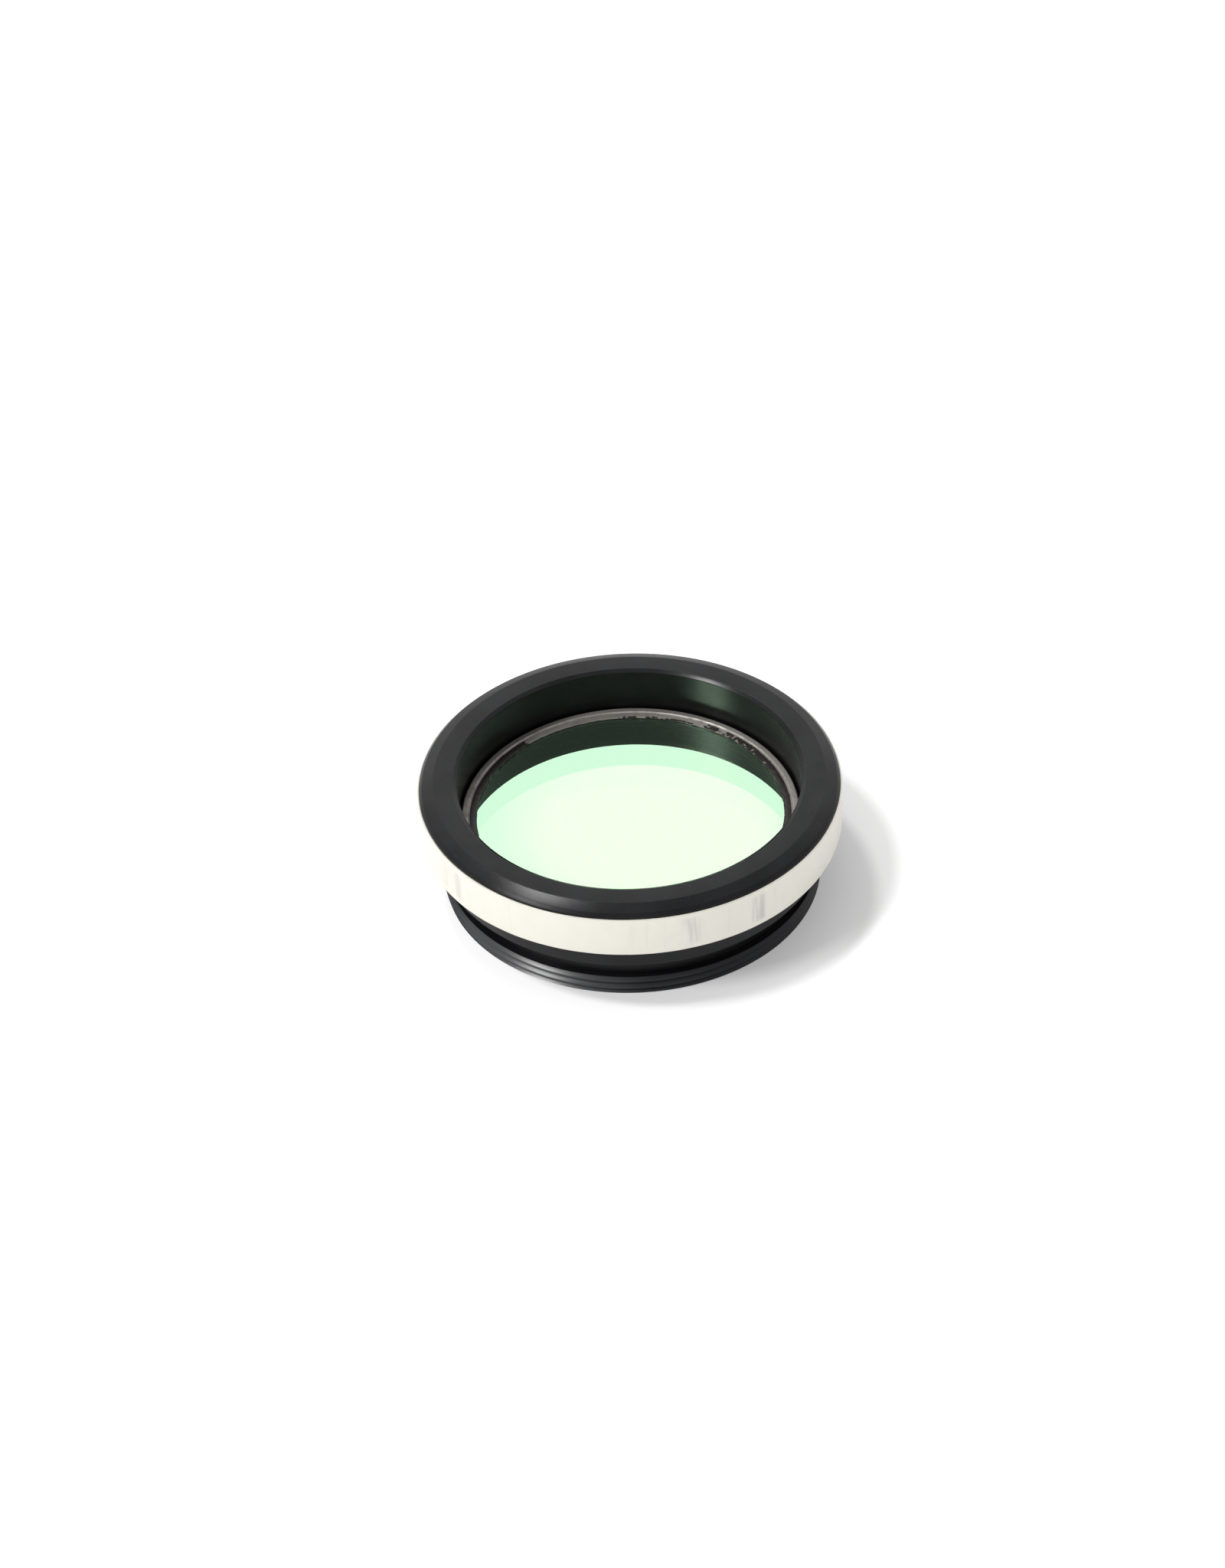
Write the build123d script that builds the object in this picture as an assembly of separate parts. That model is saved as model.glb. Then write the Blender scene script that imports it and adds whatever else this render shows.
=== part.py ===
from build123d import *
import math
import os

# Optical bandpass filter in a round threaded cell, in millimetres.
# The origin is the centre of the bottom face and +Z is the optical axis, towards the rim.

# Cell, from the rim's top face down to the end of the thread, its steps counted outwards from the bore
rim_overhang = 1.13
rim_height = 4.0
rim_bevel_width = 0.83
rim_bevel_height = 0.29
rim_corner_bevel = 0.25
rim_foot_chamfer = 0.12
neck_step = 0.35
neck_height = 2.15
neck_foot_chamfer = 0.12
relief_wall = 0.68
relief_height = 1.35
relief_depth = 0.7
thread_height = 1.6
thread_end_chamfer = 0.4
ledge_width = 1.42
aperture_chamfer = 0.3
bore_bevel_width = 0.32
bore_bevel_height = 0.19

# Filter element, seated on the ledge inside the bore
element_recess = 3.45
ring_radius = 12.7
ring_clearance = 0.17
ring_wall = 0.55
ring_edge_bevel = 0.08
lip_width = 0.6
lip_drop = 0.13
lip_thickness = 0.13
ring_foot = 0.05
glass_clearance = 0.03
front_glass_thickness = 1.05
rear_glass_thickness = 1.05
glass_edge_bevel = 0.08

# Black sealant along the ring's lip, broken away over part of the turn
seal_thickness = 0.07
seal_margin = 0.03
seal_start_angle = 131.0
seal_end_angle = 398.0
seal_ripple = 0.05
seal_ripple_count = 13

# Foil label wrapped round the rim, with its two ends butted at the back
label_height = 3.24
label_drop = 0.68
label_thickness = 0.14
label_seam_gap = 0.25
label_seam_angle = 97.0

# Heights above the bottom face
relief_base = thread_height
neck_base = relief_base + relief_height
rim_base = neck_base + neck_height
rim_top = rim_base + rim_height
bevel_foot = rim_top - rim_bevel_height
ring_top = rim_top - element_recess
lip_top = ring_top - lip_drop
front_glass_top = lip_top - lip_thickness
rear_glass_top = front_glass_top - front_glass_thickness
rear_glass_base = rear_glass_top - rear_glass_thickness
ledge_height = rear_glass_base - ring_foot

# Radii of the cell, outwards from the ring that it holds, and of the aperture inside the ledge
bore_radius = ring_radius + ring_clearance
aperture_radius = bore_radius - ledge_width
relief_radius = bore_radius + relief_wall
thread_major_radius = relief_radius + relief_depth
neck_radius = thread_major_radius + neck_step
rim_radius = neck_radius + rim_overhang
bevel_foot_radius = rim_radius - rim_corner_bevel

# Radii of the element, inwards from its ring
ring_inner_radius = ring_radius - ring_wall
lip_radius = ring_inner_radius - lip_width
glass_radius = ring_inner_radius - glass_clearance


def turned(points):
    # Solid of revolution about the optical axis from a closed list of radius and height pairs
    with BuildPart() as solid:
        with BuildSketch(Plane.XZ):
            with BuildLine():
                Polyline(*points, close=True)
            make_face()
        revolve(axis=Axis.Z)
    return solid.part


def circles_at(shape, radius, height):
    # Circular edges of one radius at one height, to be bevelled
    found = []
    for edge in shape.edges().filter_by(GeomType.CIRCLE):
        at_radius = math.isclose(edge.radius, radius, abs_tol=1e-4)
        at_height = math.isclose(edge.center().Z, height, abs_tol=1e-4)
        if at_radius and at_height:
            found.append(edge)
    return found


def filter_cell():
    # One turned body: rim, neck, relief groove and thread outside, bore, ledge and aperture inside
    body = turned([
        (aperture_radius, 0.0),
        (thread_major_radius, 0.0),
        (thread_major_radius, relief_base),
        (relief_radius, relief_base),
        (relief_radius, neck_base),
        (neck_radius, neck_base),
        (neck_radius, rim_base),
        (rim_radius, rim_base),
        (rim_radius, bevel_foot - rim_corner_bevel),
        (bevel_foot_radius, bevel_foot),
        (bevel_foot_radius - rim_bevel_width, rim_top),
        (bore_radius + bore_bevel_width, rim_top),
        (bore_radius, rim_top - bore_bevel_height),
        (bore_radius, ledge_height),
        (aperture_radius, ledge_height),
    ])
    body = chamfer(circles_at(body, rim_radius, rim_base), rim_foot_chamfer)
    body = chamfer(circles_at(body, neck_radius, neck_base), neck_foot_chamfer)
    body = chamfer(circles_at(body, thread_major_radius, 0.0), thread_end_chamfer)
    body = chamfer(circles_at(body, aperture_radius, 0.0), aperture_chamfer)
    return body


def element_ring():
    # Bare metal ring with a thin lip over the front glass
    body = turned([
        (ring_inner_radius, ledge_height),
        (ring_radius, ledge_height),
        (ring_radius, ring_top),
        (ring_inner_radius, ring_top),
        (ring_inner_radius, lip_top),
        (lip_radius, lip_top),
        (lip_radius, front_glass_top),
        (ring_inner_radius, front_glass_top),
    ])
    corners = circles_at(body, ring_radius, ring_top)
    corners += circles_at(body, ring_inner_radius, ring_top)
    return chamfer(corners, ring_edge_bevel)


def glass_disc(base, thickness):
    # Ground glass disc with a fine safety bevel on both edges
    disc = turned([
        (0.0, base),
        (glass_radius, base),
        (glass_radius, base + thickness),
        (0.0, base + thickness),
    ])
    rims = circles_at(disc, glass_radius, base)
    rims += circles_at(disc, glass_radius, base + thickness)
    return chamfer(rims, glass_edge_bevel)


def on_circle(radius, angle):
    # Point of a sketch on a circle about the optical axis, with its angle in degrees
    turn = math.radians(angle)
    return Vector(radius * math.cos(turn), radius * math.sin(turn))


def edge_seal():
    # Strip of sealant that lies on the lip, its inner edge uneven in short straight breaks, its ends square
    outer = ring_inner_radius - seal_margin
    inner = lip_radius + seal_margin + seal_ripple
    middle = (seal_start_angle + seal_end_angle) / 2
    steps = 4 * seal_ripple_count
    wavy = []
    for step in range(steps + 1):
        share = step / steps
        angle = seal_start_angle + share * (seal_end_angle - seal_start_angle)
        swing = math.sin(math.tau * share * seal_ripple_count)
        wavy.append(on_circle(inner + seal_ripple * swing, angle))
    start = on_circle(outer, seal_start_angle)
    halfway = on_circle(outer, middle)
    end = on_circle(outer, seal_end_angle)
    with BuildPart() as strip:
        with BuildSketch(Plane.XY.offset(lip_top)):
            with BuildLine():
                ThreePointArc(start, halfway, end)
                Line(end, wavy[-1])
                Polyline(*wavy)
                Line(wavy[0], start)
            make_face()
        extrude(amount=seal_thickness)
    return strip.part


def rim_label():
    # Foil band of one thickness on the rim, open at the seam
    base = rim_top - label_drop - label_height
    band = turned([
        (rim_radius, base),
        (rim_radius + label_thickness, base),
        (rim_radius + label_thickness, base + label_height),
        (rim_radius, base + label_height),
    ])
    seam = Box(rim_radius, label_seam_gap, label_height)
    seam = Pos(rim_radius, 0, base + label_height / 2) * seam
    return band - Rot(0, 0, label_seam_angle) * seam


pieces = {
    "filter_cell": filter_cell(),
    "rim_label": rim_label(),
    "element_ring": element_ring(),
    "front_glass": glass_disc(rear_glass_top, front_glass_thickness),
    "rear_glass": glass_disc(rear_glass_base, rear_glass_thickness),
    "edge_seal": edge_seal(),
}

os.makedirs("parts", exist_ok=True)
for name, piece in pieces.items():
    export_step(piece, f"parts/{name}.step")
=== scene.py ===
import math

import bmesh
import bpy
from bpy.props import FloatProperty, FloatVectorProperty, IntProperty, PointerProperty
from mathutils import Matrix, Vector, noise


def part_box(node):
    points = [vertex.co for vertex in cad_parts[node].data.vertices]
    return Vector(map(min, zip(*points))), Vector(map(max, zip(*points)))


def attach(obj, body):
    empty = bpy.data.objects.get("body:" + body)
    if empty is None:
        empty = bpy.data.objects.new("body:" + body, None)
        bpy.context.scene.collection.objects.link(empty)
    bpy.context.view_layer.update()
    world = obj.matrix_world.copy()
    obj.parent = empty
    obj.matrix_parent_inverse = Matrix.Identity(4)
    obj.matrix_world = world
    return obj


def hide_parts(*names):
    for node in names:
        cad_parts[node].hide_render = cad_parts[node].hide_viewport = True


bl_info = {
    "name": "Bandpass filter in a threaded cell",
    "version": (1, 0, 0),
    "blender": (4, 5, 0),
    "location": "3D View > Sidebar > Filter",
    "description": "Dresses a round optical bandpass filter and sets its studio",
    "category": "Object",
}

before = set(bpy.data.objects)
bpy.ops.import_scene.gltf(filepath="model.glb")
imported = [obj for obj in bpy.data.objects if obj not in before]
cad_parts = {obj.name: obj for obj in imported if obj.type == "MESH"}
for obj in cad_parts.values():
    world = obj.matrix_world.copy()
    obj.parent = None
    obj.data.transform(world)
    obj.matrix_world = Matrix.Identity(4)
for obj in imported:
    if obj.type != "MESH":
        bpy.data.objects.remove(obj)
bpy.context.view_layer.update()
CELL_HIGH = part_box("filter_cell")[1]
LABEL_LOW, LABEL_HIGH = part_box("rim_label")
RING_LOW, RING_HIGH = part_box("element_ring")
FRONT_LOW, FRONT_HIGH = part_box("front_glass")
REAR_LOW, REAR_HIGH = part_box("rear_glass")
SEAL_LOW, SEAL_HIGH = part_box("edge_seal")
MM = 0.001
WHITE = (1.0, 1.0, 1.0, 1.0)

# Points on each tiny round
ROUND_POINTS = 5

# Share of the light that the front coating mirrors, while the rest goes into the glass
MIRROR_SHARE = 0.60

# Heights, in millimetres, between which a finish on the cell fades in
THREAD_END_FADE = (1.36, 1.42)
SHOULDER_FADE = (2.88, 2.95)
# Below the rim's base the neck and thread are painted paler: painted fill light
RIM_BASE_FADE = (5.0, 5.15)
BEVEL_FOOT_FADE = (8.80, 8.84)
BEVEL_TOP_FADE = (9.075, 9.095)

# Radii, in millimetres, between which the painted shade in the groove over the thread fades in
RELIEF_WALL_FADE = (13.4, 13.5)

# Where the thread gets a coat that brightens the lamps' glint, a painted glint placed at their bearing: the
# middle of the patch and the cosines at its rim and its core
GLINT_ANGLE = math.radians(-124.0)
GLINT_FADE = (0.78, 0.96)

# Heights, in millimetres, between which the streaks on the foil fade in and out
STREAK_FOOT_FADE = (5.35, 5.9)
STREAK_TOP_FADE = (7.7, 8.25)

# How far from its cut edges the foil is worn, in millimetres
FOIL_EDGE_WEAR = 0.10

# Heights and radii, in millimetres, of the ring's lip and of the dark line along its inner edge
LIP_FADE = (5.53, 5.58)
INNER_EDGE_RADIUS_FADE = (11.60, 11.66)
INNER_EDGE_HEIGHT_FADE = (5.49, 5.52)

# Middle of the rear coating's warm part in millimetres, set off the axis, and the distances from it between
# which its colour fades to the darker outer colour
REAR_COAT_ACROSS = 1.6
REAR_COAT_FADE = (7.0, 13.5)


def length(name, description, default):
    """A size property in metres, shown in the scene's unit."""
    return FloatProperty(
        name=name, description=description, default=default, min=0.0, precision=5, unit="LENGTH")


def tint(name, description, default):
    """A colour property in linear light."""
    return FloatVectorProperty(
        name=name, description=description, default=default, min=0.0, max=1.0, size=3, subtype="COLOR")


class FilterSizes(bpy.types.PropertyGroup):
    """Sizes of the filter's pieces."""

    turn_steps: IntProperty(
        name="Turn steps", description="Facets round each turned surface", default=360, min=48)
    edge_break: length("Edge break", "Tiny round on the cell's turned corners", 0.035 * MM)
    foot_chamfer: length("Foot chamfer", "Chamfer at the foot of the rim and of the neck", 0.12 * MM)
    bevel_width: length("Bevel width", "Radial width of the rim's outer bevel", 0.83 * MM)
    bevel_height: length("Bevel height", "Drop of the rim's outer bevel", 0.29 * MM)
    corner_bevel: length("Corner bevel", "Small bevel between the rim's bevel and its wall", 0.25 * MM)
    bore_radius: length("Bore radius", "Radius of the bore above the element", 12.87 * MM)
    bore_bevel_width: length("Bore bevel width", "Radial width of the bevel at the bore's mouth", 0.32 * MM)
    bore_bevel_height: length("Bore bevel height", "Drop of the bevel at the bore's mouth", 0.19 * MM)
    ledge_height: length("Ledge height", "Height of the ledge that the element sits on", RING_LOW.z)
    aperture_radius: length("Aperture radius", "Radius of the opening under the element", 11.45 * MM)
    aperture_chamfer: length("Aperture chamfer", "Chamfer at the foot of the aperture", 0.3 * MM)
    rim_base: length("Rim base", "Height of the rim's underside", 5.1 * MM)
    neck_radius: length("Neck radius", "Radius of the neck under the rim", 14.6 * MM)
    neck_base: length("Neck base", "Height of the shoulder under the neck", 2.95 * MM)
    relief_radius: length("Relief radius", "Radius of the groove over the thread", 13.55 * MM)
    thread_radius: length("Thread radius", "Radius over the thread's crests", 14.25 * MM)
    thread_height: length("Thread height", "Length of the thread along the axis, up to its run-out", 1.4 * MM)
    thread_pitch: length("Thread pitch", "Rise of the thread in one turn", 0.6 * MM)
    thread_depth: length("Thread depth", "Depth of the groove under the thread's crests", 0.3 * MM)
    thread_start: FloatProperty(
        name="Thread start", description="Share of a turn by which the thread is set back", default=0.883)
    thread_fade: length("Thread fade", "Chamfer at the thread's upper end", 0.2 * MM)
    lead_chamfer: length("Lead chamfer", "Chamfer at the thread's free end", 0.1 * MM)
    lip_radius: length("Lip radius", "Inner radius of the ring's lip", 11.55 * MM)
    lip_top: length("Lip top", "Height of the lip's upper face", SEAL_LOW.z)
    ring_inner: length("Ring inner radius", "Inner radius of the ring's wall", 12.15 * MM)
    ring_bevel: length("Ring bevel", "Bevel on both upper edges of the ring", 0.08 * MM)
    ring_edge_break: length("Ring edge break", "Tiny round on the ring's corners", 0.02 * MM)
    lip_wear: length("Lip wear", "How far the lip's ragged edge is worn back", 0.04 * MM)
    sealant_inner: length("Sealant inner radius", "Radius where it starts on the lip", 11.55 * MM)
    sealant_outer: length("Sealant outer radius", "Radius where it ends by the ring's wall", 12.12 * MM)
    glass_bevel: length("Glass bevel", "Safety bevel on both edges of a disc", 0.08 * MM)
    cement_gap: length("Cement gap", "Gap left to either side between the two discs", 0.001 * MM)
    seam_angle: FloatProperty(
        name="Seam angle", description="Place of the label's seam", default=math.radians(97), subtype="ANGLE")
    seam_gap: length("Seam gap", "Gap between the label's two ends", 0.25 * MM)
    foil_edge_break: length("Foil edge break", "Tiny round on the foil's edges", 0.04 * MM)
    foil_wander: length("Foil wander", "How far the foil's cut edges wander", 0.012 * MM)


class FilterFinishes(bpy.types.PropertyGroup):
    """Colours of the filter's materials."""

    anodised: tint("Anodised black", "Black anodised metal", (0.0045, 0.0048, 0.0054))
    # This grey serves the real paler patches and also paints fill light onto the neck and thread below the
    # rim
    grey_patches_and_painted_fill: tint("Anodised grey", "Paler patches of the black anodising", (0.015, 0.0155, 0.0172))
    # Painted shade: this darker black stands for the shade in the groove over the thread
    relief: tint("Relief black", "Black of the groove over the thread", (0.0015, 0.0015, 0.0018))
    lint: tint("Lint", "Fine pale lint on the black metal", (0.10, 0.10, 0.095))
    thread_worn: tint("Worn thread", "Rubbed black of the thread", (0.026, 0.027, 0.030))
    bore: tint("Bore black", "Blackened wall of the bore", (0.0026, 0.0027, 0.0030))
    foil: tint("Foil", "Silver-cream foil of the label", (0.76, 0.74, 0.665))
    foil_mottle: tint("Foil mottle", "Duller clouds on the foil", (0.69, 0.67, 0.60))
    foil_mark: tint("Foil mark", "Faint grey streaks on the foil", (0.44, 0.44, 0.42))
    foil_edge: tint("Foil edge", "Worn cut edges of the foil", (0.42, 0.40, 0.35))
    ring: tint("Ring metal", "Bare turned metal of the ring", (0.30, 0.282, 0.26))
    ring_dull: tint("Ring oxide", "Dull patches on the ring", (0.19, 0.178, 0.164))
    ring_lip: tint("Ring lip", "Duller metal of the lip", (0.17, 0.16, 0.148))
    ring_speck: tint("Ring specks", "Dark specks on the ring", (0.05, 0.045, 0.04))
    coating: tint("Coating", "Colour that the front coating reflects", (0.66, 1.0, 0.73))
    dust: tint("Dust", "Grains of dust on the glass", (0.6, 0.62, 0.58))
    rear: tint("Rear mirror", "Colour that the rear coating reflects", (1.0, 0.86, 0.50))
    # The darker colour that the rear coating fades to towards its edge
    rear_outer: tint("Rear edge", "Colour of the rear coating where it thins out", (0.28, 0.32, 0.20))
    rear_haze: tint("Rear haze", "Faint clouds in the rear coating", (0.80, 0.74, 0.45))
    edge_dark: tint("Glass edge, dark", "Blackened part of the glass's ground edge", (0.03, 0.034, 0.032))
    edge_pale: tint("Glass edge, pale", "Bare part of the glass's ground edge", (0.09, 0.10, 0.095))
    sealant: tint("Sealant", "Old black-brown sealant", (0.012, 0.010, 0.009))
    sealant_brown: tint("Sealant breaks", "Brown breaks in the sealant", (0.035, 0.024, 0.018))
    floor: tint("Floor", "Plain pale floor", (0.82, 0.82, 0.82))


class Term:
    """A shader socket that takes part in Python expressions."""

    def __init__(self, tree, socket):
        self.tree = tree
        self.socket = socket

    def work(self, operation, *values):
        node = self.tree.nodes.new("ShaderNodeMath")
        node.operation = operation
        for place, value in enumerate(values):
            if isinstance(value, Term):
                self.tree.links.new(value.socket, node.inputs[place])
            else:
                node.inputs[place].default_value = value
        return Term(self.tree, node.outputs[0])

    def __add__(self, other):
        return self.work("ADD", self, other)

    def __radd__(self, other):
        return self.work("ADD", other, self)

    def __sub__(self, other):
        return self.work("SUBTRACT", self, other)

    def __rsub__(self, other):
        return self.work("SUBTRACT", other, self)

    def __mul__(self, other):
        return self.work("MULTIPLY", self, other)

    def __rmul__(self, other):
        return self.work("MULTIPLY", other, self)

    def sine(self):
        return self.work("SINE", self)

    def cosine(self):
        return self.work("COSINE", self)

    def bearing(self, across):
        """Angle about the axis of a place this far along and that far across."""
        return self.work("ARCTAN2", self, across)

    def larger(self, other):
        return self.work("MAXIMUM", self, other)


class Shader:
    """A node tree that is written as expressions."""

    def __init__(self, owner):
        owner.use_nodes = True
        self.tree = owner.node_tree
        self.tree.nodes.clear()

    def node(self, kind, settings, sockets, output=0):
        """A node with its settings first and then its sockets, as the term of one output or as nothing."""
        made = self.tree.nodes.new(kind)
        for name, value in settings.items():
            setattr(made, name, value)
        for name, value in sockets.items():
            if isinstance(value, Term):
                self.tree.links.new(value.socket, made.inputs[name])
            else:
                made.inputs[name].default_value = value
        return None if output is None else Term(self.tree, made.outputs[output])

    def colour(self, value):
        """A term as it is, or three colour values with full alpha."""
        return value if isinstance(value, Term) else (*value, 1.0)

    def mix(self, factor, first, second):
        """The first colour where the factor is 0 and the second where it is 1."""
        sockets = {0: factor, 6: self.colour(first), 7: self.colour(second)}
        return self.node("ShaderNodeMix", {"data_type": "RGBA"}, sockets, 2)

    def step(self, value, low, high):
        """Rises smoothly from 0 at the low value to 1 at the high one."""
        sockets = {"Value": value, "From Min": low, "From Max": high}
        return self.node("ShaderNodeMapRange", {"interpolation_type": "SMOOTHSTEP"}, sockets)

    def noise(self, vector, scale, detail, roughness=0.55):
        sockets = {"Vector": vector, "Scale": scale, "Detail": detail, "Roughness": roughness}
        return self.node("ShaderNodeTexNoise", {}, sockets)

    def vector(self, across, along, up):
        return self.node("ShaderNodeCombineXYZ", {}, {0: across, 1: along, 2: up})

    def bump(self, strength, distance, height):
        """Fine relief of the surface, its distance in metres."""
        sockets = {"Strength": strength, "Distance": distance, "Height": height}
        return self.node("ShaderNodeBump", {}, sockets)

    def principled(self, sockets):
        return self.node("ShaderNodeBsdfPrincipled", {}, sockets)

    def point(self):
        """Position on the object in millimetres."""
        metres = self.node("ShaderNodeTexCoord", {}, {}, "Object")
        return self.node("ShaderNodeVectorMath", {"operation": "SCALE"}, {0: metres, "Scale": 1.0 / MM})

    def places(self):
        """Position in millimetres with its radius, angle and height."""
        point = self.point()
        flat = self.node("ShaderNodeVectorMath", {"operation": "MULTIPLY"}, {0: point, 1: (1.0, 1.0, 0.0)})
        radius = self.node("ShaderNodeVectorMath", {"operation": "LENGTH"}, {0: flat}, "Value")
        across = self.node("ShaderNodeSeparateXYZ", {}, {0: point}, "X")
        along = self.node("ShaderNodeSeparateXYZ", {}, {0: point}, "Y")
        height = self.node("ShaderNodeSeparateXYZ", {}, {0: point}, "Z")
        return point, radius, along.bearing(across), height

    def turned(self, radius, angle, height, fineness):
        """Grooves that a lathe leaves, round the axis."""
        return self.noise(self.vector(radius * fineness, height * fineness, angle * 0.35), 1.0, 2.0, 0.6)

    def surface(self, shader, kind="ShaderNodeOutputMaterial"):
        """Leads a shader to the output of the material or the world."""
        self.node(kind, {}, {"Surface": shader}, None)


def finish_named(name):
    """A new material and the shader that is written into it."""
    material = bpy.data.materials.new(name)
    return material, Shader(material)


def anodised_finish(finishes):
    """Satin black anodising with lathe marks, paler patches and fine lint; painted fill light pales the neck
    and thread below the rim, painted shade darkens the groove over the thread, and a coat placed where the
    lamps glint on the thread is a painted glint.
    """
    material, shade = finish_named("black_anodised_satin")
    point, radius, angle, height = shade.places()
    marks = shade.turned(radius, angle, height, 22.0)
    patches = shade.noise(point, 0.35, 4.0)
    grain = shade.noise(point, 26.0, 2.0)
    lint = shade.step(shade.noise(point, 5.0, 1.0), 0.755, 0.80)
    over_thread = shade.step(height, *THREAD_END_FADE)
    under_shoulder = 1.0 - shade.step(height, *SHOULDER_FADE)
    groove = over_thread * under_shoulder * shade.step(radius, *RELIEF_WALL_FADE)
    bevel = shade.step(height, *BEVEL_FOOT_FADE) * (1.0 - shade.step(height, *BEVEL_TOP_FADE))
    thread = 1.0 - over_thread
    # Painted fill light: below the rim the neck and thread are painted paler, blended with the real paler
    # patches
    lower = 1.0 - shade.step(height, *RIM_BASE_FADE)
    worn = shade.step(patches, 0.35, 0.7) * 0.4 + lower * 0.6
    base = shade.mix(worn, finishes.anodised, finishes.grey_patches_and_painted_fill)
    base = shade.mix(thread * 0.7, base, finishes.thread_worn)
    # Painted shade darkens the groove over the thread
    base = shade.mix(groove * 0.6, base, finishes.relief)
    base = shade.mix(lint * 0.25, base, finishes.lint)
    rough = 0.30 + (marks - 0.5) * 0.10 + (grain - 0.5) * 0.06 - bevel * 0.09 - thread * 0.05
    # Painted glint: a coat on the thread only at the lamps' bearing makes their glint there brighter
    glint_coat = thread * shade.step((angle - GLINT_ANGLE).cosine(), *GLINT_FADE)
    bump = shade.bump(0.12, 0.02 * MM, marks + grain * 0.35)
    shade.surface(shade.principled({
        "Base Color": base, "Roughness": rough, "Normal": bump, "Specular IOR Level": 0.16,
        "Coat Weight": glint_coat * 0.9, "Coat Roughness": 0.32}))
    return material


def bore_finish(finishes):
    """Deep black wall of the bore, with fine turning marks and a smoother sheen."""
    material, shade = finish_named("black_bore_wall")
    point, radius, angle, height = shade.places()
    marks = shade.turned(radius, angle, height, 30.0)
    patches = shade.noise(point, 0.5, 3.0)
    base = shade.mix(shade.step(patches, 0.4, 0.7), finishes.bore, finishes.anodised)
    rough = 0.33 + (marks - 0.5) * 0.10
    bump = shade.bump(0.10, 0.02 * MM, marks)
    shade.surface(shade.principled({
        "Base Color": base, "Roughness": rough, "Normal": bump, "Specular IOR Level": 0.15}))
    return material


def foil_finish(finishes):
    """Matt silver-cream foil with a fine brushed grain, soft creases and faint plain grey streaks."""
    material, shade = finish_named("silver_cream_foil")
    point, radius, angle, height = shade.places()
    low, high = LABEL_LOW.z / MM, LABEL_HIGH.z / MM
    grain = shade.noise(shade.vector(angle * 9.0, height * 14.0, radius), 1.0, 3.0)
    creases = shade.noise(shade.vector(angle * 7.0, height * 0.4, 0.0), 1.0, 2.0)
    mottle = shade.noise(point, 0.8, 4.0)
    streaks = shade.step(shade.noise(shade.vector(angle * 19.0, height * 0.10, 8.3), 1.0, 2.0), 0.47, 0.72)
    groups = shade.step(shade.noise(shade.vector(angle * 5.5, 0.0, 1.4), 1.0, 0.0), 0.42, 0.58)
    rows = shade.step(height, *STREAK_FOOT_FADE) * (1.0 - shade.step(height, *STREAK_TOP_FADE))
    front = shade.step(angle.sine() * -1.0, 0.35, 0.75)
    whole = shade.step(height, low, low + FOIL_EDGE_WEAR)
    whole = whole * (1.0 - shade.step(height, high - FOIL_EDGE_WEAR, high))
    base = shade.mix(shade.step(mottle, 0.3, 0.75) * 0.30, finishes.foil, finishes.foil_mottle)
    base = shade.mix(streaks * groups * rows * front * 0.7, base, finishes.foil_mark)
    base = shade.mix((1.0 - whole) * 0.45, base, finishes.foil_edge)
    rough = 0.42 + (grain - 0.5) * 0.16
    bump = shade.bump(0.10, 0.04 * MM, grain * 0.4 + creases)
    shade.surface(shade.principled({
        "Base Color": base, "Roughness": rough, "Metallic": 0.25, "Normal": bump}))
    return material


def ring_finish(finishes):
    """Bare turned metal with dull oxide and dark specks."""
    material, shade = finish_named("bare_turned_metal")
    point, radius, angle, height = shade.places()
    marks = shade.turned(radius, angle, height, 34.0)
    oxide = shade.step(shade.noise(point, 1.5, 5.0), 0.40, 0.64)
    specks = shade.step(shade.noise(point, 7.0, 2.0), 0.66, 0.72)
    lip = 1.0 - shade.step(height, *LIP_FADE)
    near_glass = 1.0 - shade.step(radius, *INNER_EDGE_RADIUS_FADE)
    inner_edge = near_glass * (1.0 - shade.step(height, *INNER_EDGE_HEIGHT_FADE))
    base = shade.mix(oxide * 0.6, finishes.ring, finishes.ring_dull)
    base = shade.mix(lip * 0.35, base, finishes.ring_lip)
    base = shade.mix(specks * 0.75, base, finishes.ring_speck)
    base = shade.mix(inner_edge * 0.95, base, finishes.sealant)
    rough = 0.42 + oxide * 0.18 + (marks - 0.5) * 0.12
    bump = shade.bump(0.25, 0.03 * MM, marks + oxide * 0.3)
    shade.surface(shade.principled({
        "Base Color": base, "Roughness": rough, "Metallic": 0.7, "Normal": bump}))
    return material


def coating_finish(finishes):
    """Polished glass under a part-mirror coating, with a trace of wiping marks and dust."""
    material, shade = finish_named("green_reflecting_coating")
    point = shade.point()
    smears = shade.step(shade.noise(point, 0.22, 4.0), 0.52, 0.74)
    dust = shade.step(shade.noise(point, 6.5, 1.0), 0.775, 0.80)
    mirror = shade.principled({
        "Base Color": shade.mix(dust * 0.35, finishes.coating, finishes.dust),
        "Roughness": 0.012 + smears * 0.02 + dust * 0.3, "Metallic": 0.975})
    clear = shade.principled({
        "Base Color": WHITE, "Roughness": 0.0, "IOR": 1.5, "Transmission Weight": 1.0})
    shade.surface(shade.node("ShaderNodeMixShader", {}, {0: MIRROR_SHARE, 1: clear, 2: mirror}))
    return material


def joint_finish():
    """The clear cement between the two discs, which light passes unchanged."""
    material, shade = finish_named("clear_cement")
    shade.surface(shade.principled({"Base Color": WHITE, "Roughness": 0.0, "Alpha": 0.0}))
    return material


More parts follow.
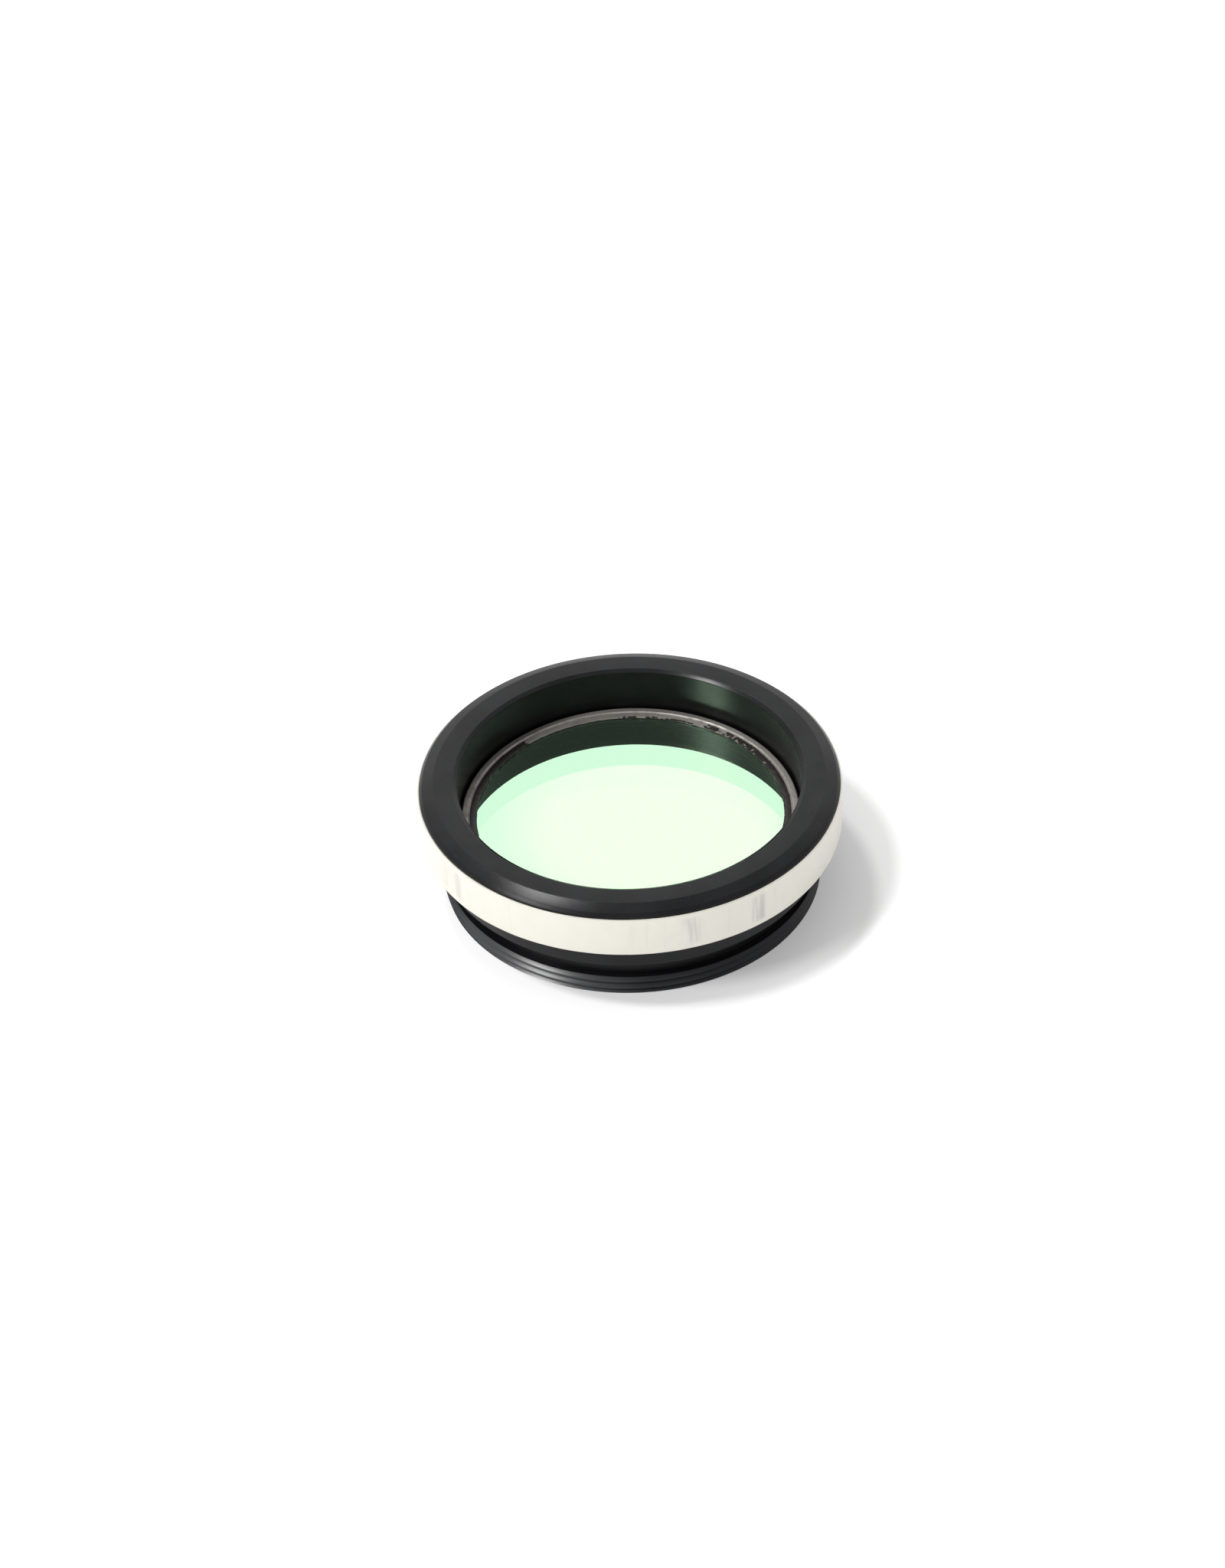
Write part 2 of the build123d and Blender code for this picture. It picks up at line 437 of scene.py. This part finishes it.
def rear_finish(finishes):
    """Warm mirror coating on the back of the rear disc, fading to a darker green-grey towards its edge."""
    material, shade = finish_named("warm_rear_coating")
    point = shade.point()
    haze = shade.step(shade.noise(point, 0.3, 4.0), 0.45, 0.75)
    middle = (REAR_COAT_ACROSS, 0.0, REAR_LOW.z / MM)
    offset = shade.node("ShaderNodeVectorMath", {"operation": "SUBTRACT"}, {0: point, 1: middle})
    away = shade.node("ShaderNodeVectorMath", {"operation": "LENGTH"}, {0: offset}, "Value")
    coat = shade.mix(shade.step(away, *REAR_COAT_FADE), finishes.rear, finishes.rear_outer)
    shade.surface(shade.principled({
        "Base Color": shade.mix(haze * 0.1, coat, finishes.rear_haze),
        "Roughness": 0.015 + haze * 0.02, "Metallic": 1.0}))
    return material


def ground_edge_finish(finishes):
    """Ground and blackened edge of the glass."""
    material, shade = finish_named("ground_glass_edge")
    grain = shade.noise(shade.point(), 18.0, 3.0)
    bump = shade.bump(0.2, 0.02 * MM, grain)
    shade.surface(shade.principled({
        "Base Color": shade.mix(grain, finishes.edge_dark, finishes.edge_pale),
        "Roughness": 0.5 + (grain - 0.5) * 0.2, "Normal": bump}))
    return material


def sealant_finish(finishes):
    """Old cracked sealant, black with brown breaks."""
    material, shade = finish_named("old_black_sealant")
    point = shade.point()
    lumps = shade.noise(point, 4.0, 5.0)
    brown = shade.step(shade.noise(point, 2.2, 3.0), 0.5, 0.7)
    base = shade.mix(brown * 0.6, finishes.sealant, finishes.sealant_brown)
    rough = 0.42 + (lumps - 0.5) * 0.3
    bump = shade.bump(0.4, 0.05 * MM, lumps)
    shade.surface(shade.principled({
        "Base Color": base, "Roughness": rough, "Normal": bump, "Specular IOR Level": 0.3}))
    return material


def broken_edges(profile, size):
    """The closed profile with each corner turned into a tiny round, and nearly straight ones left."""
    straight = math.radians(4)
    longest_cut = 0.3
    rounded = []
    count = len(profile)
    for place in range(count):
        before = Vector(profile[place - 1])
        corner = Vector(profile[place])
        after = Vector(profile[(place + 1) % count])
        back = before - corner
        ahead = after - corner
        if math.pi - back.angle(ahead) < straight:
            rounded.append(tuple(corner))
            continue
        cut = min(size, back.length * longest_cut, ahead.length * longest_cut)
        start = corner + back.normalized() * cut
        end = corner + ahead.normalized() * cut
        for step in range(ROUND_POINTS):
            share = step / (ROUND_POINTS - 1)
            point = start * (1 - share) ** 2 + corner * 2 * share * (1 - share) + end * share ** 2
            rounded.append(tuple(point))
    return rounded


def ring_of(mesh, radius, height, steps):
    """Vertices of one level circle."""
    made = []
    for step in range(steps):
        turn = math.tau * step / steps
        made.append(mesh.verts.new((radius * math.cos(turn), radius * math.sin(turn), height)))
    return made


def skin(mesh, lower, upper, material=0):
    """Faces between two circles of vertices."""
    steps = len(lower)
    for step in range(steps):
        beyond = (step + 1) % steps
        face = mesh.faces.new((lower[step], lower[beyond], upper[beyond], upper[step]))
        face.smooth = True
        face.material_index = material


def piece_from(mesh, name, materials, nodes):
    """Turns a mesh into a shown piece that rides on the body and stands for its solids."""
    same_place = 0.0002 * MM
    no_length = 0.0001 * MM
    sharp_from = math.radians(32)
    bmesh.ops.remove_doubles(mesh, verts=mesh.verts, dist=same_place)
    bmesh.ops.dissolve_degenerate(mesh, edges=mesh.edges, dist=no_length)
    bmesh.ops.recalc_face_normals(mesh, faces=mesh.faces)
    data = bpy.data.meshes.new(name)
    mesh.to_mesh(data)
    mesh.free()
    if not data.polygons:
        raise RuntimeError(f"{name} has no faces")
    for material in materials:
        data.materials.append(material)
    data.set_sharp_from_angle(angle=sharp_from)
    piece = bpy.data.objects.new(name, data)
    bpy.context.scene.collection.objects.link(piece)
    weighted = piece.modifiers.new("Weighted normals", "WEIGHTED_NORMAL")
    weighted.keep_sharp = True
    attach(piece, "root")
    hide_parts(*nodes)
    return piece


def under_crest(phase, depth):
    """How far the thread lies under its crest at a share of the pitch, its flanks facing half upwards."""
    flank_curve = 1.25
    from_crest = abs((phase + 0.5) % 1.0 - 0.5)
    return depth * (2.0 * from_crest) ** flank_curve


class FILTER_OT_cell(bpy.types.Operator):
    """Turn the black cell with its bevels, ledge and helical thread"""

    bl_idname = "bandpass.cell"
    bl_label = "Threaded cell"

    def execute(self, context):
        sizes = context.scene.filter_sizes
        finishes = context.scene.filter_finishes
        steps = sizes.turn_steps
        mesh = bmesh.new()
        rim_radius, top = CELL_HIGH.x, CELL_HIGH.z
        foot_radius = rim_radius - sizes.corner_bevel
        foot = top - sizes.bevel_height
        lead_radius = sizes.thread_radius - sizes.lead_chamfer
        outline = [
            (sizes.relief_radius, sizes.thread_height),
            (sizes.relief_radius, sizes.neck_base),
            (sizes.neck_radius - sizes.foot_chamfer, sizes.neck_base),
            (sizes.neck_radius, sizes.neck_base + sizes.foot_chamfer),
            (sizes.neck_radius, sizes.rim_base),
            (rim_radius - sizes.foot_chamfer, sizes.rim_base),
            (rim_radius, sizes.rim_base + sizes.foot_chamfer),
            (rim_radius, foot - sizes.corner_bevel),
            (foot_radius, foot),
            (foot_radius - sizes.bevel_width, top),
            (sizes.bore_radius + sizes.bore_bevel_width, top),
            (sizes.bore_radius, top - sizes.bore_bevel_height),
            (sizes.bore_radius, sizes.ledge_height),
            (sizes.aperture_radius, sizes.ledge_height),
            (sizes.aperture_radius, sizes.aperture_chamfer),
            (sizes.aperture_radius + sizes.aperture_chamfer, 0.0),
            (lead_radius, 0.0),
        ]
        soft = broken_edges(outline, sizes.edge_break)
        # The two ends of the outline join the thread, so they stay sharp
        soft[:ROUND_POINTS] = [outline[0]]
        soft[-ROUND_POINTS:] = [outline[-1]]
        circles = [ring_of(mesh, radius, height, steps) for radius, height in soft]
        bore_edge = sizes.bore_radius + sizes.edge_break
        satin, bore_wall = 0, 1
        for place, (lower, upper) in enumerate(zip(circles, circles[1:])):
            in_bore = max(soft[place][0], soft[place + 1][0]) < bore_edge
            skin(mesh, lower, upper, bore_wall if in_bore else satin)
        self.thread(mesh, sizes, steps, lead_radius)
        materials = [anodised_finish(finishes), bore_finish(finishes)]
        piece_from(mesh, "cell_body", materials, ["filter_cell"])
        return {"FINISHED"}

    def thread(self, mesh, sizes, steps, lead_radius):
        """Helical rows of vertices that are held between the thread's two ends."""
        pitch, high = sizes.thread_pitch, sizes.thread_height
        rows_in_pitch = 20
        spare_turns = 2
        turns = math.ceil(high / pitch) + spare_turns
        rows = [whole + row / rows_in_pitch - 1.0 for whole in range(turns) for row in range(rows_in_pitch)]
        grid = []
        for row in rows:
            line = []
            for step in range(steps):
                share = step / steps
                rise = share - sizes.thread_start
                height = min(max((row + rise) * pitch, 0.0), high)
                phase = height / pitch - rise
                radius = sizes.thread_radius - under_crest(phase, sizes.thread_depth)
                run_out = sizes.thread_radius - sizes.thread_fade + (high - height)
                radius = min(radius, lead_radius + height, run_out)
                turn = math.tau * share
                line.append(mesh.verts.new((radius * math.cos(turn), radius * math.sin(turn), height)))
            grid.append(line)
        last = len(grid) - 1
        # After a full turn each row meets the row that lies one pitch higher
        for row in range(last):
            for step in range(steps):
                wraps = step == steps - 1
                beyond = 0 if wraps else step + 1
                low = min(row + rows_in_pitch, last) if wraps else row
                up = min(row + 1 + rows_in_pitch, last) if wraps else row + 1
                corners = [grid[row][step], grid[low][beyond], grid[up][beyond], grid[row + 1][step]]
                if len(set(corners)) == 4:
                    mesh.faces.new(corners).smooth = True
        skin(mesh, grid[last], ring_of(mesh, sizes.relief_radius, high, steps))


class FILTER_OT_label(bpy.types.Operator):
    """Wrap the foil label round the rim, with its butted ends at the back"""

    bl_idname = "bandpass.label"
    bl_label = "Foil label"

    def execute(self, context):
        sizes = context.scene.filter_sizes
        material = foil_finish(context.scene.filter_finishes)
        inner, outer = CELL_HIGH.x, LABEL_HIGH.x
        low, high = LABEL_LOW.z, LABEL_HIGH.z
        corners = [(inner, low), (outer, low), (outer, high), (inner, high)]
        section = broken_edges(corners, sizes.foil_edge_break)
        half_gap = sizes.seam_gap / 2 / outer
        waves = 9
        steps = sizes.turn_steps * 2
        mesh = bmesh.new()
        lines = []
        for step in range(steps + 1):
            turn = sizes.seam_angle + half_gap + (math.tau - 2 * half_gap) * step / steps
            place = Vector((math.cos(turn) * waves, math.sin(turn) * waves, 1.0))
            wander = noise.noise(place) * sizes.foil_wander
            line = []
            for radius, height in section:
                lift = wander if height > (low + high) / 2 else -wander
                level = min(max(height + lift, low), high)
                line.append(mesh.verts.new((radius * math.cos(turn), radius * math.sin(turn), level)))
            lines.append(line)
        count = len(section)
        for before, after in zip(lines, lines[1:]):
            for place in range(count):
                beyond = (place + 1) % count
                mesh.faces.new((before[place], after[place], after[beyond], before[beyond])).smooth = True
        mesh.faces.new(lines[0])
        mesh.faces.new(lines[-1])
        piece_from(mesh, "foil_band", [material], ["rim_label"])
        return {"FINISHED"}


class FILTER_OT_ring(bpy.types.Operator):
    """Turn the bare ring and its thin lip, whose edge is uneven where it shows"""

    bl_idname = "bandpass.ring"
    bl_label = "Element ring"

    def execute(self, context):
        sizes = context.scene.filter_sizes
        material = ring_finish(context.scene.filter_finishes)
        steps = sizes.turn_steps * 2
        top, base, outer = RING_HIGH.z, RING_LOW.z, RING_HIGH.x
        lip_base = FRONT_HIGH.z
        bevel = sizes.ring_bevel
        ragged_length = 0.45 * MM
        ragged_zone = 0.05 * MM
        outline = [
            (sizes.ring_inner, base),
            (outer, base),
            (outer, top - bevel),
            (outer - bevel, top),
            (sizes.ring_inner + bevel, top),
            (sizes.ring_inner, top - bevel),
            (sizes.ring_inner, sizes.lip_top),
            (sizes.lip_radius, sizes.lip_top),
            (sizes.lip_radius, lip_base),
            (sizes.ring_inner, lip_base),
        ]
        mesh = bmesh.new()
        circles = []
        for radius, height in broken_edges(outline, sizes.ring_edge_break):
            circle = ring_of(mesh, radius, height, steps)
            if radius < sizes.lip_radius + ragged_zone:
                for vertex in circle:
                    ragged = noise.noise(Vector((vertex.co.x, vertex.co.y, 0)) / ragged_length)
                    vertex.co.xy *= 1 + sizes.lip_wear * (1 + ragged) / radius
            circles.append(circle)
        for lower, upper in zip(circles, circles[1:] + circles[:1]):
            skin(mesh, lower, upper)
        piece_from(mesh, "bare_ring", [material], ["element_ring"])
        return {"FINISHED"}


class FILTER_OT_sealant(bpy.types.Operator):
    """Lay the black sealant on the lip, whole at the front, chipped at the right and gone at the back"""

    bl_idname = "bandpass.sealant"
    bl_label = "Edge sealant"

    def cover(self, degrees, radius):
        """True where sealant is left, by angle in degrees and radius in millimetres."""
        whole_from, whole_to = 131, 28
        chipped_to, half_gone_at = 62, 53
        strand_from, strand_to = 64, 93
        inner_edge, outer_edge, strand_edge = 11.565, 12.09, 11.72
        turn = math.radians(degrees)
        spot = Vector((math.cos(turn), math.sin(turn), 0)) * radius
        fine = noise.noise(spot * 3.4)
        coarse = noise.noise(spot * 1.3 + Vector((5.0, 2.0, 9.0)))
        if radius > outer_edge + 0.02 * fine or radius < inner_edge + 0.02 * fine:
            return False
        if degrees >= whole_from + 2.0 * coarse + 1.5 * fine or degrees < whole_to + 4 * coarse:
            return True
        if degrees < chipped_to:
            return 0.65 * fine + 0.65 * coarse > 0.014 * (degrees - half_gone_at)
        if strand_from < degrees < strand_to:
            return radius < strand_edge + 0.08 * coarse and fine + 0.4 * coarse > -0.08
        return False

    def execute(self, context):
        sizes = context.scene.filter_sizes
        material = sealant_finish(context.scene.filter_finishes)
        base, thickness = sizes.lip_top, SEAL_HIGH.z - SEAL_LOW.z
        turns, tracks = 1080, 14
        edge_share, lump_share, lump_scale = 0.62, 0.18, 2200
        inner, width = sizes.sealant_inner, sizes.sealant_outer - sizes.sealant_inner
        mesh = bmesh.new()
        upper, lower = {}, {}
        kept = set()
        for step in range(turns):
            for track in range(tracks):
                middle = inner + width * (track + 0.5) / tracks
                if self.cover(360 * (step + 0.5) / turns, middle / MM):
                    kept.add((step, track))

        def corner(store, step, track, raised):
            key = (step % turns, track)
            if key not in store:
                turn = math.tau * key[0] / turns
                radius = inner + width * track / tracks
                place = Vector((radius * math.cos(turn), radius * math.sin(turn), base))
                if raised:
                    across = min(max(track / tracks, 0.05), 0.95)
                    crown = edge_share + (1 - edge_share) * math.sin(math.pi * across)
                    lump = 1 - lump_share + lump_share * noise.noise(place * lump_scale)
                    place.z += thickness * min(crown * lump, 1.0)
                store[key] = mesh.verts.new(place)
            return store[key]

        for step, track in kept:
            square = [(step, track), (step, track + 1), (step + 1, track + 1), (step + 1, track)]
            mesh.faces.new([corner(upper, *at, True) for at in square]).smooth = True
            mesh.faces.new([corner(lower, *at, False) for at in reversed(square)])
            sides = [
                ((step, track - 1), square[0], square[3]),
                ((step, track + 1), square[1], square[2]),
                (((step - 1) % turns, track), square[0], square[1]),
                (((step + 1) % turns, track), square[3], square[2]),
            ]
            for neighbour, first, second in sides:
                if neighbour not in kept:
                    mesh.faces.new((
                        corner(upper, *first, True), corner(upper, *second, True),
                        corner(lower, *second, False), corner(lower, *first, False)))
        piece_from(mesh, "lip_sealant", [material], ["edge_seal"])
        return {"FINISHED"}


class FILTER_OT_glass(bpy.types.Operator):
    """Make the two cemented discs with their coated faces"""

    bl_idname = "bandpass.glass"
    bl_label = "Coated glass"

    def disc(self, sizes, name, low, high, faces, slot, node):
        """A bevelled disc whose lower face, edge and upper face have the materials in faces."""
        radius = FRONT_HIGH.x
        bevel = sizes.glass_bevel
        lower_face, ground_edge, upper_face = 0, 1, 2
        outline = [
            (0, low),
            (radius - bevel, low),
            (radius, low + bevel),
            (radius, high - bevel),
            (radius - bevel, high),
            (0, high),
        ]
        mesh = bmesh.new()
        circles = [ring_of(mesh, across, height, sizes.turn_steps) for across, height in outline]
        coverings = (lower_face, ground_edge, ground_edge, ground_edge, upper_face)
        for lower, upper, covering in zip(circles, circles[1:], coverings):
            skin(mesh, lower, upper, covering)
        piece_from(mesh, name, faces, [node])

    def execute(self, context):
        finishes = context.scene.filter_finishes
        sizes = context.scene.filter_sizes
        coated, joint = coating_finish(finishes), joint_finish()
        rear, edge = rear_finish(finishes), ground_edge_finish(finishes)
        front_base, rear_top = FRONT_LOW.z + sizes.cement_gap, REAR_HIGH.z - sizes.cement_gap
        front_faces, rear_faces = [joint, edge, coated], [rear, edge, joint]
        self.disc(sizes, "front_disc", front_base, FRONT_HIGH.z, front_faces, "coated_glass", "front_glass")
        self.disc(sizes, "rear_disc", REAR_LOW.z, rear_top, rear_faces, "rear_glass", "rear_glass")
        return {"FINISHED"}


class FILTER_OT_studio(bpy.types.Operator):
    """Set the pale floor, the soft lights and the camera"""

    bl_idname = "bandpass.studio"
    bl_label = "Studio"

    def lamp(self, name, direction, width, height, power, shape="RECTANGLE"):
        """A soft lamp one metre away that faces the object, its power in watts."""
        distance = 1.0
        data = bpy.data.lights.new(name, "AREA")
        data.shape = shape
        data.size, data.size_y, data.energy = width, height, power
        lamp = bpy.data.objects.new(name, data)
        aim = Vector(direction).normalized()
        lamp.location = aim * distance
        lamp.rotation_mode = "QUATERNION"
        lamp.rotation_quaternion = aim.to_track_quat("Z", "Y")
        bpy.context.scene.collection.objects.link(lamp)

    def seen(self, shade):
        """One for camera, mirror and glass rays, and zero for light that falls on surfaces."""
        camera = shade.node("ShaderNodeLightPath", {}, {}, "Is Camera Ray")
        glossy = shade.node("ShaderNodeLightPath", {}, {}, "Is Glossy Ray")
        glass = shade.node("ShaderNodeLightPath", {}, {}, "Is Transmission Ray")
        return camera.larger(glossy.larger(glass))

    def room(self, scene):
        """A pale room: dim as a light, greyer behind the viewer in mirrors, and white where it is seen."""
        lighting = 0.46
        behind_viewer, beyond_object = 0.68, 1.0
        world = bpy.data.worlds.new("pale_room")
        scene.world = world
        shade = Shader(world)
        heading = shade.node("ShaderNodeTexCoord", {}, {}, "Generated")
        way = shade.node("ShaderNodeSeparateXYZ", {}, {0: heading}, "Y")
        mirrored = behind_viewer + shade.step(way, -0.5, 0.3) * (beyond_object - behind_viewer)
        seen = self.seen(shade)
        direct = shade.node("ShaderNodeLightPath", {}, {}, "Is Camera Ray")
        level = lighting + seen * (mirrored - lighting) + direct * (1.0 - mirrored)
        sky = shade.node("ShaderNodeBackground", {}, {"Color": WHITE, "Strength": level})
        shade.surface(sky, "ShaderNodeOutputWorld")

    def floor(self, scene):
        """A pale floor just under the object, a little lighter to camera, mirror and glass rays."""
        half_width = 3.0
        drop = 0.02 * MM
        material, shade = finish_named("pale_floor")
        glow = self.seen(shade) * 0.20
        shade.surface(shade.principled({
            "Base Color": shade.colour(scene.filter_finishes.floor),
            "Roughness": 1.0, "Specular IOR Level": 0.0,
            "Emission Color": shade.mix(glow, (0.0, 0.0, 0.0), (1.0, 1.0, 1.0)), "Emission Strength": 1.0}))
        mesh = bmesh.new()
        bmesh.ops.create_grid(mesh, x_segments=8, y_segments=8, size=half_width)
        data = bpy.data.meshes.new("studio_floor")
        mesh.to_mesh(data)
        mesh.free()
        data.materials.append(material)
        floor = bpy.data.objects.new("studio_floor", data)
        floor.location.z = -drop
        scene.collection.objects.link(floor)

    def camera(self, scene):
        """The camera, which looks down at the middle of the rim's top face."""
        picture_width, picture_height = 1600, 2048
        focal, centre_x, centre_y = 5563.0, 821.66, 1012.66
        sensor = 36.0
        distance = 0.3175
        tilt, roll = math.radians(38.74), math.radians(-2.21)
        level_right = Vector((1, 0, 0))
        level_up = Vector((0, math.sin(tilt), math.cos(tilt)))
        ahead = Vector((0, math.cos(tilt), -math.sin(tilt)))
        right = level_right * math.cos(roll) + level_up * math.sin(roll)
        up = level_up * math.cos(roll) - level_right * math.sin(roll)
        ray = Vector((centre_x - picture_width / 2, picture_height / 2 - centre_y, -focal)).normalized()
        towards = right * ray.x + up * ray.y - ahead * ray.z
        data = bpy.data.cameras.new("camera")
        data.sensor_width = sensor
        data.lens = focal * sensor / picture_height
        data.clip_start, data.clip_end = 0.01, 20.0
        camera = bpy.data.objects.new("camera", data)
        place = Vector((0, 0, CELL_HIGH.z)) - towards * distance
        turn = Matrix((right, up, -ahead)).transposed().to_4x4()
        camera.matrix_world = Matrix.Translation(place) @ turn
        scene.collection.objects.link(camera)
        scene.camera = camera

    def execute(self, context):
        scene = context.scene
        self.room(scene)
        self.floor(scene)
        self.lamp("key_lamp", (-0.447, -0.045, 0.894), width=0.16, height=0.16, power=4.1, shape="DISK")
        self.lamp("top_lamp", (-0.254, 0.302, 0.920), width=0.14, height=0.14, power=2.3, shape="DISK")
        self.lamp("side_lamp", (-0.66, -0.36, 0.66), width=0.30, height=0.16, power=4.2, shape="ELLIPSE")
        self.lamp("back_panel", (0.0, 0.78, 0.626), width=1.2, height=0.8, power=1.7)
        self.lamp("front_fill", (0.15, -0.90, 0.42), width=1.0, height=0.6, power=0.7)
        self.camera(scene)
        scene.view_settings.view_transform = "Standard"
        return {"FINISHED"}


class FILTER_PT_panel(bpy.types.Panel):
    """Lists the filter's pieces in the sidebar"""

    bl_idname = "FILTER_PT_panel"
    bl_label = "Bandpass filter"
    bl_space_type = "VIEW_3D"
    bl_region_type = "UI"
    bl_category = "Filter"

    def draw(self, context):
        for operator in OPERATORS:
            self.layout.operator(operator.bl_idname, text=operator.bl_label)
        for owner in (context.scene.filter_sizes, context.scene.filter_finishes):
            column = self.layout.column()
            for name in owner.__annotations__:
                column.prop(owner, name)


OPERATORS = (
    FILTER_OT_studio,
    FILTER_OT_cell,
    FILTER_OT_label,
    FILTER_OT_ring,
    FILTER_OT_sealant,
    FILTER_OT_glass,
)
CLASSES = (FilterSizes, FilterFinishes, *OPERATORS, FILTER_PT_panel)


def register():
    for item in CLASSES:
        bpy.utils.register_class(item)
    bpy.types.Scene.filter_sizes = PointerProperty(type=FilterSizes)
    bpy.types.Scene.filter_finishes = PointerProperty(type=FilterFinishes)


def unregister():
    del bpy.types.Scene.filter_finishes
    del bpy.types.Scene.filter_sizes
    for item in reversed(CLASSES):
        bpy.utils.unregister_class(item)


def main():
    """Registers the classes and makes the whole scene."""
    register()
    for operator in OPERATORS:
        group, name = operator.bl_idname.split(".")
        getattr(getattr(bpy.ops, group), name)()


if __name__ == "__main__":
    main()
